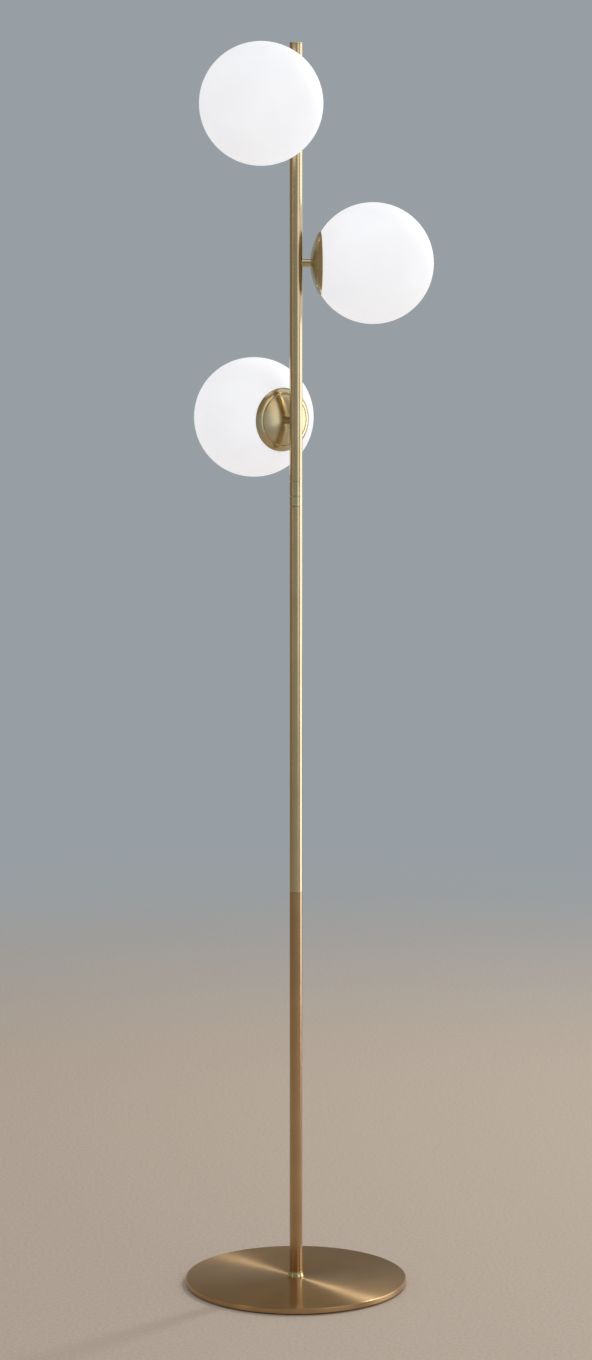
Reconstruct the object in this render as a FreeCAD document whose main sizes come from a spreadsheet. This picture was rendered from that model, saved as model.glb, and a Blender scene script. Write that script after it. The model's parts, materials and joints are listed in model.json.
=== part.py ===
import FreeCAD, Part
import os
import re
import Sketcher

# Globe floor lamp: a round weighted base, a slim pole in three screwed sections, and three opal globes
# that climb the upper section like stairs, a third of a turn apart. Millimetres, +Z up. The origin is
# the middle of the underside, on the pole's axis, and the middle arm points along +X.

SIZES = {
    # base
    "base_radius": 137.5,
    "base_thickness": 7,
    "base_edge": 1.2,            # rounding of the rim, above and below
    "pad_thickness": 1.5,        # non-slip pad under the base
    "pad_margin": 4,             # how far the pad stays inside the rim
    "recess_radius": 14.5,       # pocket under the base for washer and nut
    "recess_depth": 4.4,
    "stud_radius": 5,            # hollow threaded stud that holds the pole to the base
    "stud_wall": 1.5,
    "stud_short": 1.6,           # the stud stops that far below the plug's top
    "washer_radius": 12,
    "washer_thickness": 1.2,
    "base_nut_width": 17,        # across its corners, as all nut widths here
    "base_nut_height": 2.8,
    # pole
    "pole_radius": 8,
    "pole_wall": 1,
    "lower_length": 486,
    "middle_length": 481,
    "ring_height": 13,           # lock ring between the middle section and the head
    "ferrule_height": 18,        # visible shoulder of the head's threaded socket
    "top_reach": 75,             # pole above the highest arm
    "edge_chamfer": 0.35,
    "foot_plug_length": 18,
    "collar_radius": 10.3,
    "collar_height": 8,
    "collar_foot": 1.4,          # straight part of the collar, above the base
    "collar_lip": 0.5,           # its thickness at the top
    "collar_curve": 13,
    "joiner_length": 60,
    "joiner_wall": 1.8,
    "bush_length": 24,
    "stem_radius": 5,
    "stem_wall": 1.4,
    "stem_reach": 22,            # thread in the bush, and again in the head's socket
    "spigot_length": 20,         # part of the socket inside the upper section
    "plug_flange": 1.5,
    "plug_depth": 10,
    # cable inlet
    "inlet_height": 12,          # above the foot plug
    "inlet_bore": 3.1,
    "grommet_wall": 1.3,
    "grommet_flange": 1.2,
    "grommet_inside": 1.2,       # how far it stands in from the tube's wall
    # wiring
    "supply_radius": 2.8,
    "supply_bend": 4.4,
    "connector_radius": 6.2,
    "connector_length": 22,
    "wire_radius": 1.8,
    "wire_offset": 3.4,          # each lamp wire's place beside the pole's axis
    "wire_bend": 4.5,
    # arms
    "low_arm_rise": 74.5,        # lowest arm above the head's ferrule
    "arm_spacing": 194.5,
    "arm_turn": 120,             # degrees from one arm to the next
    "arm_radius": 5,
    "arm_thread_radius": 4,
    "arm_bore": 2.4,
    "arm_thread_end": 1.2,       # thread that shows past its nut
    "arm_nut_width": 14,
    "arm_nut_height": 3,
    # globes and their caps
    "globe_radius": 75,
    "globe_wall": 2.2,
    "arm_reach": 20.1,           # pole's axis to the glass
    "globe_ring_wall": 2.6,
    "globe_ring_length": 10,
    "cap_wall": 1.2,
    "cap_air": 1.1,              # cap's inside to the glass
    "cap_flat": 8.5,             # flat middle that the arm's shoulder bears on
    "crease_radius": 31.5,
    "crease_step": 0.3,
    "dome_offset": 3,            # the dome's curve is that much larger than the globe's
    "rim_radius": 39.8,
    "rim_gap": 0.5,
    "band_curve": 12,
    # lampholders
    "spacer_radius": 7.5,
    "spacer_thickness": 2.2,
    "sleeve_radius": 16.5,
    "sleeve_length": 19,
    "sleeve_floor": 1.5,
    "holder_radius": 10.8,
    "holder_length": 16,
    "holder_front": 4,           # how far the holder stands out of its sleeve
    "flange_radius": 14.8,
    "flange_thickness": 3,
    "slot_spacing": 9,           # between the two pin slots
    "slot_floor": 1.5,
    "screw_radius": 1.2,
    "screw_length": 7,
    "screw_circle": 13.1,
    "screw_head_radius": 2.1,
    "screw_head_height": 1.4,
    # bulbs
    "pin_radius": 1.1,
    "pin_length": 13.5,
    "bulb_back_radius": 7.4,
    "bulb_radius": 9,
    "bulb_base_length": 16,
    "bulb_glass_length": 32,
    "bulb_wall": 0.8,
    # clearances
    "press_gap": 0.02,           # a piece pressed into its seat
    "thread_gap": 0.05,          # a thread, or a bore that turns on it
    "slip_gap": 0.2,             # a loose hole
    "moving_gap": 0.3,           # faces that move past each other
}

# Places and sizes that follow from the ones above. Heights are from the floor, and names that start
# with at_ are distances from the pole's axis along an arm.
PLACES = {
    "base_top": "pad_thickness + base_thickness",
    "recess_top": "pad_thickness + recess_depth",
    "stud_foot": "recess_top - washer_thickness - base_nut_height",
    "pole_bore": "pole_radius - pole_wall",
    "lower_top": "base_top + lower_length",
    "middle_top": "lower_top + middle_length",
    "ring_top": "middle_top + ring_height",
    "ferrule_top": "ring_top + ferrule_height",
    "socket_top": "ferrule_top + spigot_length",
    "low_level": "ferrule_top + low_arm_rise",
    "upper_length": "low_arm_rise + 2 * arm_spacing + top_reach",
    "upper_top": "ferrule_top + upper_length",
    "stem_foot": "middle_top - stem_reach",
    "stem_length": "2 * stem_reach + ring_height",
    "inlet_level": "base_top + foot_plug_length + inlet_height",
    "stud_length": "base_top + foot_plug_length - stud_short - stud_foot",
    "grommet_radius": "inlet_bore + grommet_wall",
    "grommet_start": "pole_bore - grommet_inside",
    "grommet_end": "pole_radius + grommet_flange",
    "connector_top": "socket_top + connector_length",
    "at_globe": "arm_reach + globe_radius",
    "rim_inside": "rim_radius - cap_wall",
    "at_cap": "arm_reach - cap_air - cap_wall",
    "at_cap_inside": "at_cap + cap_wall",
    "at_crease": "at_globe - sqrt(globe_radius ^ 2 - crease_radius ^ 2) - cap_air - cap_wall",
    "at_rim": "at_globe - sqrt(globe_radius ^ 2 - rim_inside ^ 2) - rim_gap",
    "at_sleeve": "at_cap_inside + spacer_thickness",
    "at_nut": "at_sleeve + sleeve_floor",
    "at_thread_end": "at_nut + arm_nut_height + arm_thread_end",
    "at_sleeve_end": "at_sleeve + sleeve_length",
    "at_flange": "at_sleeve_end - flange_thickness",
    "at_holder_end": "at_sleeve_end + holder_front",
    "at_holder": "at_holder_end - holder_length",
    "at_bulb": "at_holder_end + moving_gap",
    "at_bulb_glass": "at_bulb + bulb_base_length",
    "at_bulb_end": "at_bulb_glass + bulb_glass_length",
    "globe_ring_bore": "sleeve_radius + moving_gap",
    "globe_ring_radius": "globe_ring_bore + globe_ring_wall",
    "at_globe_ring": "at_globe - sqrt(globe_radius ^ 2 - globe_ring_bore ^ 2)",
    "inner_globe": "globe_radius - globe_wall",
    "mouth_radius": "globe_ring_radius + press_gap",
    "at_mouth": "at_globe - sqrt(globe_radius ^ 2 - mouth_radius ^ 2)",
    "at_mouth_inside": "at_globe - sqrt(inner_globe ^ 2 - mouth_radius ^ 2)",
    "slot_radius": "pin_radius + moving_gap",
}

# Each arm's name, its place in the climb from the lowest, and its turn from the middle arm.
ARMS = (("low", 0, 1), ("middle", 1, 0), ("top", 2, 2))

doc = FreeCAD.newDocument("globe_floor_lamp")
sheet = doc.addObject("Spreadsheet::Sheet", "Sizes")
for row, (name, size) in enumerate(SIZES.items(), start=1):
    sheet.set(f"A{row}", str(size))
    sheet.setAlias(f"A{row}", name)
doc.recompute()

subparts = []


# Writes a formula in the names above as one that the document can follow.
def bound(formula):
    def swap(match):
        word = match.group(0)
        if word in PLACES:
            return "(" + bound(PLACES[word]) + ")"
        return f"Sizes.{word}" if word in SIZES else word
    return re.sub(r"[a-z][a-z_]*", swap, formula)


def number(formula):
    return float(sheet.evalExpression(bound(formula)))


# A place on the pole's axis, turned about it.
def upright(level="0", turn="0"):
    return f"placement(vector(0; 0; {bound(level)}); rotation(vector(0; 0; 1); {bound(turn)}))"


# The frame of an arm: its own z axis runs out along the arm, and its x axis points down. A piece can
# start some way out along the arm, and stand off to its side (across) or towards the floor (down).
def on_arm(arm, out="0", across="0", down="0"):
    _, step, turns = arm
    level = f"low_level + {step} * arm_spacing"
    turn = f"{turns} * arm_turn"
    frame = f"{upright(level, turn)} * placement(vector(0; 0; 0); rotation(vector(0; 1; 0); 90))"
    place = f"vector({bound(down)}; {bound(across)}; {bound(out)})"
    return f"{frame} * placement({place}; rotation(vector(0; 0; 1); 0))"


def finish(piece, label):
    piece.Label = label
    subparts.append(piece)
    return piece


# Centre of the arc of a given radius from start to end that turns left (+1) or right (-1).
def arc_centre(start, end, radius, side):
    chord = end - start
    middle = (start + end) * 0.5
    left = FreeCAD.Vector(-chord.y, chord.x, 0).normalize()
    rise = max(radius ** 2 - (chord.Length / 2) ** 2, 0) ** 0.5
    return middle + left * rise * side


# Draws a chain of corners, each (x, y) or (x, y, radius, side) where an arc leads to it from the
# corner before, and ties every corner and radius to the sheet.
def draw(sketch, corners, closed=True):
    spots = [FreeCAD.Vector(number(corner[0]), number(corner[1]), 0) for corner in corners]
    count = len(corners)
    ends = []
    for index in range(0 if closed else 1, count):
        start, end = spots[index - 1], spots[index]
        if len(corners[index]) == 2:
            edge = sketch.addGeometry(Part.LineSegment(start, end), False)
            ends.append((edge, 1, 2))
            continue
        radius, side = corners[index][2:]
        centre = arc_centre(start, end, number(radius), side)
        circle = Part.Circle(centre, FreeCAD.Vector(0, 0, 1), number(radius))
        first, last = (start, end) if side > 0 else (end, start)
        arc = Part.ArcOfCircle(circle, circle.parameter(first), circle.parameter(last))
        edge = sketch.addGeometry(arc, False)
        ends.append((edge, 1, 2) if side > 0 else (edge, 2, 1))
        tie = sketch.addConstraint(Sketcher.Constraint("Radius", edge, number(radius)))
        sketch.setExpression(f"Constraints[{tie}]", bound(radius))
    for index, (edge, start, end) in enumerate(ends):
        if index or closed:
            before = ends[index - 1]
            sketch.addConstraint(Sketcher.Constraint("Coincident", before[0], before[2], edge, start))
    anchors = [(edge, end) for edge, start, end in ends]
    if not closed:
        anchors.insert(0, ends[0][:2])
    for corner, spot, (edge, end) in zip(corners, spots, anchors):
        for kind, formula, size in (("DistanceX", corner[0], spot.x), ("DistanceY", corner[1], spot.y)):
            tie = sketch.addConstraint(Sketcher.Constraint(kind, -1, 1, edge, end, size))
            sketch.setExpression(f"Constraints[{tie}]", bound(formula))


def sketch_on(body, role, name):
    sketch = body.newObject("Sketcher::SketchObject", name)
    plane = next(item for item in body.Origin.OriginFeatures if item.Role == role)
    sketch.AttachmentSupport = (plane, "")
    sketch.MapMode = "FlatFace"
    return sketch


# A turned piece: its half outline, as (radius, height along its axis), revolved.
def turned(label, place, corners):
    body = doc.addObject("PartDesign::Body", label)
    outline = sketch_on(body, "XZ_Plane", label + "_outline")
    draw(outline, corners)
    spin = body.newObject("PartDesign::Revolution", label + "_spin")
    spin.Profile = outline
    spin.ReferenceAxis = (outline, ["V_Axis"])
    spin.Angle = 360
    outline.Visibility = False
    body.setExpression("Placement", place)
    return body


# A plain turned ring or tube with square ends, and chamfered outer edges if a chamfer is given.
def ring(label, place, inside, outside, length, chamfer=None):
    if chamfer is None:
        corners = [(inside, "0"), (outside, "0"), (outside, length), (inside, length)]
    else:
        edge = f"{outside} - {chamfer}"
        corners = [(inside, "0"), (edge, "0"), (outside, chamfer), (outside, f"{length} - {chamfer}"),
                   (edge, length), (inside, length)]
    return turned(label, place, corners)


def cylinder(name, place, radius, length):
    piece = doc.addObject("Part::Cylinder", name)
    piece.setExpression("Radius", bound(radius))
    piece.setExpression("Height", bound(length))
    piece.setExpression("Placement", place)
    return piece


def joined(name, pieces):
    union = doc.addObject("Part::MultiFuse", name)
    union.Shapes = pieces
    return union


def cut(name, blank, tools):
    result = doc.addObject("Part::Cut", name)
    result.Base = blank
    result.Tool = tools[0] if len(tools) == 1 else joined(name + "_tools", tools)
    return result


def hex_nut(label, place, width, hole, height):
    blank = doc.addObject("Part::Prism", label + "_blank")
    blank.Polygon = 6
    blank.setExpression("Circumradius", bound(width + " / 2"))
    blank.setExpression("Height", bound(height))
    blank.setExpression("Placement", place)
    bore = cylinder(label + "_bore", place, hole, height)
    return finish(cut(label, blank, [bore]), label)


# A round wire that leaves a vertical run beside the pole's axis and turns level, out along x.
def wire(label, place, radius, start, corner, end, bend, climbs):
    side, turn = ("-", -1) if climbs else ("+", 1)
    offset, first = start
    level = corner
    body = doc.addObject("PartDesign::Body", label)
    path = sketch_on(body, "XZ_Plane", label + "_path")
    draw(path, [(offset, first), (offset, f"{level} {side} {bend}"),
                (f"{offset} + {bend}", level, bend, turn), (end, level)], closed=False)
    section = sketch_on(body, "XY_Plane", label + "_section")
    section.setExpression("AttachmentOffset.Base.z", bound(first))
    circle = Part.Circle(FreeCAD.Vector(number(offset), 0, 0), FreeCAD.Vector(0, 0, 1), number(radius))
    edge = section.addGeometry(circle, False)
    for kind, formula in (("DistanceX", offset), ("DistanceY", "0")):
        tie = section.addConstraint(Sketcher.Constraint(kind, -1, 1, edge, 3, number(formula)))
        section.setExpression(f"Constraints[{tie}]", bound(formula))
    tie = section.addConstraint(Sketcher.Constraint("Radius", edge, number(radius)))
    section.setExpression(f"Constraints[{tie}]", bound(radius))
    pipe = body.newObject("PartDesign::AdditivePipe", label + "_pipe")
    pipe.Profile = section
    pipe.Spine = (path, [])
    body.setExpression("Placement", place)
    return finish(body, label)


# Base: plate with a rounded rim and a pocket under its middle, pad, hollow stud, washer and nut.
def make_base():
    finish(cylinder("base_pad", upright(), "base_radius - pad_margin", "pad_thickness"), "base_pad")
    hole = "stud_radius + slip_gap"
    finish(turned("base_plate", upright("pad_thickness"), [
        (hole, "recess_depth"), ("recess_radius", "recess_depth"), ("recess_radius", "0"),
        ("base_radius - base_edge", "0"), ("base_radius", "base_edge", "base_edge", 1),
        ("base_radius", "base_thickness - base_edge"),
        ("base_radius - base_edge", "base_thickness", "base_edge", 1), (hole, "base_thickness"),
    ]), "base_plate")
    finish(ring("base_washer", upright("recess_top - washer_thickness"), hole, "washer_radius",
                "washer_thickness"), "base_washer")
    hex_nut("base_nut", upright("stud_foot"), "base_nut_width", "stud_radius + thread_gap",
            "base_nut_height")
    finish(ring("base_stud", upright("stud_foot"), "stud_radius - stud_wall", "stud_radius",
                "stud_length"), "base_stud")


# Lower and middle sections, what joins them, and the collar that hides the foot.
def make_pole():
    inside = "pole_bore - press_gap"
    finish(ring("foot_plug", upright("base_top"), "stud_radius + thread_gap", inside,
                "foot_plug_length"), "foot_plug")
    finish(turned("foot_collar", upright("base_top"), [
        ("pole_radius + thread_gap", "0"), ("collar_radius", "0"), ("collar_radius", "collar_foot"),
        ("pole_radius + thread_gap + collar_lip", "collar_height", "collar_curve", -1),
        ("pole_radius + thread_gap", "collar_height"),
    ]), "foot_collar")
    blank = ring("lower_tube", upright("base_top"), "pole_bore", "pole_radius", "lower_length",
                 "edge_chamfer")
    inlet = cylinder("inlet_hole", inlet_place(), "grommet_radius + thread_gap", "2 * pole_radius")
    finish(cut("lower_pole", blank, [inlet]), "lower_pole")
    finish(ring("pole_joiner", upright("lower_top - joiner_length / 2"),
                "pole_bore - press_gap - joiner_wall", inside, "joiner_length"), "pole_joiner")
    finish(ring("middle_pole", upright("lower_top"), "pole_bore", "pole_radius", "middle_length",
                "edge_chamfer"), "middle_pole")
    finish(ring("stem_bush", upright("middle_top - bush_length"), "stem_radius + thread_gap", inside,
                "bush_length"), "stem_bush")
    finish(ring("swivel_stem", upright("stem_foot"), "stem_radius - stem_wall", "stem_radius",
                "stem_length"), "swivel_stem")
    finish(ring("lock_ring", upright("middle_top + moving_gap"), "stem_radius + thread_gap",
                "pole_radius", "(ring_height - 2 * moving_gap)", "edge_chamfer"), "lock_ring")


# The inlet's axis, level and pointing out of the pole's back along +Y.
def inlet_place(start="0"):
    turn = "placement(vector(0; 0; 0); rotation(vector(1; 0; 0); -90))"
    return f"{upright('inlet_level')} * {turn} * {upright(start)}"


# Rubber grommet in the lower section's back: a sleeve through the wall, and a flange that follows the
# tube's round.
def make_grommet():
    sleeve = cylinder("grommet_sleeve", inlet_place("grommet_start"), "grommet_radius",
                      "grommet_end - grommet_start")
    disc = cylinder("grommet_disc", inlet_place("grommet_start"), "grommet_radius + grommet_flange",
                    "grommet_end - grommet_start")
    tube = cylinder("grommet_tube", upright("inlet_level - 2 * grommet_radius"), "pole_radius + press_gap",
                    "4 * grommet_radius")
    flange = cut("grommet_flange", disc, [tube])
    bore = cylinder("grommet_bore", inlet_place(), "inlet_bore", "2 * pole_radius")
    finish(cut("cable_grommet", joined("grommet_blank", [sleeve, flange]), [bore]), "cable_grommet")


# Head: threaded socket with its visible shoulder, upper section with a wire hole per arm, end plug.
def make_head():
    face = "ferrule_height - edge_chamfer"
    finish(turned("head_socket", upright("ring_top"), [
        ("stem_radius + thread_gap", "0"), ("pole_radius - edge_chamfer", "0"),
        ("pole_radius", "edge_chamfer"), ("pole_radius", face),
        ("pole_radius - edge_chamfer", "ferrule_height"), ("pole_bore - press_gap", "ferrule_height"),
        ("pole_bore - press_gap", "ferrule_height + spigot_length"),
        ("stem_radius + thread_gap", "ferrule_height + spigot_length"),
    ]), "head_socket")
    blank = ring("upper_tube", upright("ferrule_top"), "pole_bore", "pole_radius", "upper_length",
                 "edge_chamfer")
    holes = [cylinder(f"wire_hole_{arm[0]}", on_arm(arm), "arm_bore", "2 * pole_radius") for arm in ARMS]
    finish(cut("upper_pole", blank, holes), "upper_pole")
    finish(turned("top_plug", upright("upper_top - plug_depth"), [
        ("0", "0"), ("pole_bore - press_gap", "0"), ("pole_bore - press_gap", "plug_depth"),
        ("pole_radius", "plug_depth"), ("pole_radius", "plug_depth + plug_flange - edge_chamfer"),
        ("pole_radius - edge_chamfer", "plug_depth + plug_flange"), ("0", "plug_depth + plug_flange"),
    ]), "top_plug")


# Supply cable from the inlet to the head's connector, which splits it into one wire per lamp.
def make_wiring():
    finish(cylinder("wire_connector", upright("socket_top"), "connector_radius", "connector_length"),
           "wire_connector")
    wire("supply_cable", upright(turn="90"), "supply_radius", ("0", "socket_top - moving_gap"),
         "inlet_level", "grommet_start - slip_gap", "supply_bend", climbs=False)
    for arm in ARMS:
        name, step, turns = arm
        wire(f"lamp_wire_{name}", upright(turn=f"{turns} * arm_turn"), "wire_radius",
             ("wire_offset", "connector_top"), f"(low_level + {step} * arm_spacing)", "at_holder",
             "wire_bend", climbs=True)


# Arm: a short tube coped to the pole, where it is brazed, then a shoulder and a thread. The cap, the
# spacer and the lampholder's sleeve are clamped on the thread by one nut.
def make_arm(arm):
    name = arm[0]
    tube = cylinder(f"arm_shank_{name}", on_arm(arm), "arm_radius", "at_cap")
    thread = cylinder(f"arm_thread_{name}", on_arm(arm), "arm_thread_radius", "at_thread_end")
    bore = cylinder(f"arm_bore_{name}", on_arm(arm), "arm_bore", "at_thread_end")
    level = f"low_level + {arm[1]} * arm_spacing - 2 * arm_radius"
    pole = cylinder(f"arm_cope_{name}", upright(level), "pole_radius", "4 * arm_radius")
    label = f"arm_tube_{name}"
    finish(cut(label, joined(label + "_blank", [tube, thread]), [bore, pole]), label)
    hole = "arm_thread_radius + thread_gap"
    finish(ring(f"cap_spacer_{name}", on_arm(arm, "at_cap_inside"), hole, "spacer_radius",
                "spacer_thickness"), f"cap_spacer_{name}")
    hex_nut(f"arm_nut_{name}", on_arm(arm, "at_nut"), "arm_nut_width", hole, "arm_nut_height")


# Cap: one spun shell with a flat middle, a dome that follows the globe, a crease, and a rounder band
# down to the rim.
def make_cap(arm):
    label = f"cap_{arm[0]}"
    hole = "arm_thread_radius + thread_gap"
    finish(turned(label, on_arm(arm), [
        (hole, "at_cap"), ("cap_flat", "at_cap"),
        ("crease_radius", "at_crease", "globe_radius + dome_offset", 1),
        ("crease_radius", "at_crease + crease_step"),
        ("rim_radius", "at_rim", "band_curve", 1), ("rim_inside", "at_rim"),
        ("crease_radius - cap_wall / 3", "at_crease + crease_step + cap_wall", "band_curve - cap_wall", -1),
        ("cap_flat", "at_cap_inside", "globe_radius + dome_offset - cap_wall", -1), (hole, "at_cap_inside"),
    ]), label)


# Lampholder: a metal sleeve that the globe screws on to, and a ceramic two-pin holder held in it by
# two screws.
def make_lampholder(arm):
    name = arm[0]
    nut_room = "holder_radius + slip_gap"
    seat = "flange_radius + slip_gap"
    turned_sleeve = turned(f"sleeve_blank_{name}", on_arm(arm, "at_sleeve"), [
        ("arm_thread_radius + thread_gap", "0"), ("sleeve_radius", "0"), ("sleeve_radius", "sleeve_length"),
        (seat, "sleeve_length"), (seat, "sleeve_length - flange_thickness"),
        (nut_room, "sleeve_length - flange_thickness"), (nut_room, "sleeve_floor"),
        ("arm_thread_radius + thread_gap", "sleeve_floor"),
    ])
    sides = ("screw_circle", "-screw_circle")
    tapped = [
        cylinder(f"tapped_{name}_{number_}", on_arm(arm, "at_sleeve_end - screw_length", down=side),
                 "screw_radius + press_gap", "screw_length")
        for number_, side in enumerate(sides)
    ]
    finish(cut(f"holder_sleeve_{name}", turned_sleeve, tapped), f"holder_sleeve_{name}")

    body = cylinder(f"ceramic_{name}", on_arm(arm, "at_holder"), "holder_radius", "holder_length")
    flange = cylinder(f"ceramic_flange_{name}", on_arm(arm, "at_flange"), "flange_radius",
                      "flange_thickness")
    slots = [
        cylinder(f"slot_{name}_{number_}", on_arm(arm, "at_holder + slot_floor", across=side),
                 "slot_radius", "holder_length")
        for number_, side in enumerate(("slot_spacing / 2", "-slot_spacing / 2"))
    ]
    clear = [
        cylinder(f"clear_{name}_{number_}", on_arm(arm, "at_flange", down=side),
                 "screw_radius + thread_gap", "flange_thickness")
        for number_, side in enumerate(sides)
    ]
    label = f"lampholder_{name}"
    finish(cut(label, joined(label + "_blank", [body, flange]), slots + clear), label)

    screws = []
    for number_, side in enumerate(sides):
        shank = cylinder(f"shank_{name}_{number_}", on_arm(arm, "at_sleeve_end - screw_length", down=side),
                         "screw_radius", "screw_length")
        head = cylinder(f"head_{name}_{number_}", on_arm(arm, "at_sleeve_end", down=side),
                        "screw_head_radius", "screw_head_height")
        screws.append(joined(f"screw_{name}_{number_}", [shank, head]))
    pair = doc.addObject("Part::Compound", f"holder_screws_{name}")
    pair.Links = screws
    finish(pair, f"holder_screws_{name}")


# Bulb: two pins, a tapered plastic base and a frosted glass tube with a round end.
def make_bulb(arm):
    name = arm[0]
    pins = [
        cylinder(f"pin_{name}_{number_}", on_arm(arm, "at_bulb - pin_length", across=side), "pin_radius",
                 "pin_length")
        for number_, side in enumerate(("slot_spacing / 2", "-slot_spacing / 2"))
    ]
    pair = doc.addObject("Part::Compound", f"bulb_pins_{name}")
    pair.Links = pins
    finish(pair, f"bulb_pins_{name}")
    finish(turned(f"bulb_base_{name}", on_arm(arm, "at_bulb"), [
        ("0", "0"), ("bulb_back_radius", "0"), ("bulb_radius", "bulb_base_length / 3"),
        ("bulb_radius", "bulb_base_length"), ("0", "bulb_base_length"),
    ]), f"bulb_base_{name}")
    inside = "bulb_radius - bulb_wall"
    finish(turned(f"bulb_glass_{name}", on_arm(arm, "at_bulb_glass"), [
        (inside, "0"), ("bulb_radius", "0"), ("bulb_radius", "bulb_glass_length - bulb_radius"),
        ("0", "bulb_glass_length", "bulb_radius", 1), ("0", "bulb_glass_length - bulb_wall"),
        (inside, "bulb_glass_length - bulb_radius", inside, -1),
    ]), f"bulb_glass_{name}")


# Globe: a blown opal sphere with a round mouth, and the ring cemented into it that screws on to the
# lampholder's sleeve.
def make_globe(arm):
    label = f"globe_{arm[0]}"
    finish(turned(label, on_arm(arm), [
        ("mouth_radius", "at_mouth"), ("0", "at_globe + globe_radius", "globe_radius", 1),
        ("0", "at_globe + inner_globe"), ("mouth_radius", "at_mouth_inside", "inner_globe", -1),
    ]), label)
    label = f"globe_ring_{arm[0]}"
    finish(ring(label, on_arm(arm, "at_globe_ring"), "globe_ring_bore", "globe_ring_radius",
                "globe_ring_length"), label)


make_base()
make_pole()
make_grommet()
make_head()
make_wiring()
for each_arm in ARMS:
    make_arm(each_arm)
    make_cap(each_arm)
    make_lampholder(each_arm)
    make_bulb(each_arm)
    make_globe(each_arm)
doc.recompute()

for item in doc.Objects:
    if "Invalid" in item.State or "Error" in item.State:
        raise RuntimeError(f"{item.Label}: {item.State}")
for piece in subparts:
    if piece.Shape.isNull() or not piece.Shape.isValid():
        raise RuntimeError(f"{piece.Label}: no valid shape")

os.makedirs("parts", exist_ok=True)
for piece in subparts:
    piece.Shape.exportStep(f"parts/{piece.Label}.step")
    print(f"{piece.Label}: {len(piece.Shape.Solids)} solid, {piece.Shape.Volume:.0f} mm3")
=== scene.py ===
import json
import math

import bmesh
import bpy
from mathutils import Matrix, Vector

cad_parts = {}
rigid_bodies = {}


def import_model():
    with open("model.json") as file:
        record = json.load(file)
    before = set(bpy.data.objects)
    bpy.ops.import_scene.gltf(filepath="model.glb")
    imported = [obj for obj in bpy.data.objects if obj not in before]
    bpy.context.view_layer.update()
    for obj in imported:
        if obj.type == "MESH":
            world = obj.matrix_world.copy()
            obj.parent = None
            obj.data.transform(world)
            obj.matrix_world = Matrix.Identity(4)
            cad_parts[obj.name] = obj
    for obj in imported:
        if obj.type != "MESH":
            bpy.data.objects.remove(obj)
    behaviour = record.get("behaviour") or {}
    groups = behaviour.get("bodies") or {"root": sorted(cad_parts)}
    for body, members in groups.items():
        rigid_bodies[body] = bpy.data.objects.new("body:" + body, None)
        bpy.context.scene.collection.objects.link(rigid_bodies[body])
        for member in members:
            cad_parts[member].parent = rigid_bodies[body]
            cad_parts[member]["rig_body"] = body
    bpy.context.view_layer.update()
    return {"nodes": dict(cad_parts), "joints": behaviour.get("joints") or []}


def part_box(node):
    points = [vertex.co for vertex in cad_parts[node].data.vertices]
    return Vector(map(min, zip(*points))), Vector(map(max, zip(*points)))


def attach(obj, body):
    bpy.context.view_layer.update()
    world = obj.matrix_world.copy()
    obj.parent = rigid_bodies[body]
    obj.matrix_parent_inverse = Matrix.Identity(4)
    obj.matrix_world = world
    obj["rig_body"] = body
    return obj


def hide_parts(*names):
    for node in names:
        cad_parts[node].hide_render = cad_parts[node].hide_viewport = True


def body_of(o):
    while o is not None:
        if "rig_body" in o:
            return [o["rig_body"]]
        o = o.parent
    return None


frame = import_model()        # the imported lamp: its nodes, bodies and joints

nodes = frame["nodes"]
mm = 0.001        # the scene is in metres

armNames = ("low", "middle", "top")
armAxis = {}        # direction in which each arm leaves the pole
armHeight = {}        # height of its centre line
for name in armNames:
    joint = next(j for j in frame["joints"] if j["name"] == f"globe_{name}_off")
    low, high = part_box(f"globe_{name}")
    armAxis[name] = Vector(joint["axis"]).normalized()
    armHeight[name] = (low[2] + high[2]) / 2


# Small helpers

def linear(hexColour):        # sRGB hex to the linear colour that the shaders want
    channels = [int(hexColour[i:i + 2], 16) / 255 for i in (1, 3, 5)]
    return [c / 12.92 if c <= 0.04045 else ((c + 0.055) / 1.055) ** 2.4 for c in channels] + [1.0]


def addNode(tree, kind, settings=None, links=None):        # one node, its settings, and what feeds it
    node = tree.nodes.new("ShaderNode" + kind)
    for key, value in (settings or {}).items():
        if isinstance(key, int) or key in node.inputs:
            node.inputs[key].default_value = value
        else:
            setattr(node, key, value)
    for key, source in (links or {}).items():
        tree.links.new(source, node.inputs[key])
    return node


def newMaterial(name, surface):        # a material whose Principled shader has these fixed values
    material = bpy.data.materials.new(name)
    material.use_nodes = True
    tree = material.node_tree
    shader = tree.nodes["Principled BSDF"]
    for key, value in surface.items():
        shader.inputs[key].default_value = value
    return material, tree, shader


def ramp(tree, factor, stops):        # a colour ramp from (position, colour) stops
    node = addNode(tree, "ValToRGB", links={"Fac": factor})
    elements = node.color_ramp.elements
    for index, (position, colour) in enumerate(stops):
        element = elements[index] if index < 2 else elements.new(position)
        element.position = position
        element.color = colour
    return node


def wear(node, material):
    piece = nodes[node]
    piece.data.materials.clear()
    piece.data.materials.append(material)


# One maker for every metal: its grain runs round an axis, as on anything turned, spun or brushed round
metalPattern = {"cloudsFrom": 0.35, "cloudsTo": 0.75, "grainShare": 0.2, "darkAt": 0.4, "brightAt": 0.8,
                "lacquerRoughness": 0.12, "quarterTurn": 0.25}


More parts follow.
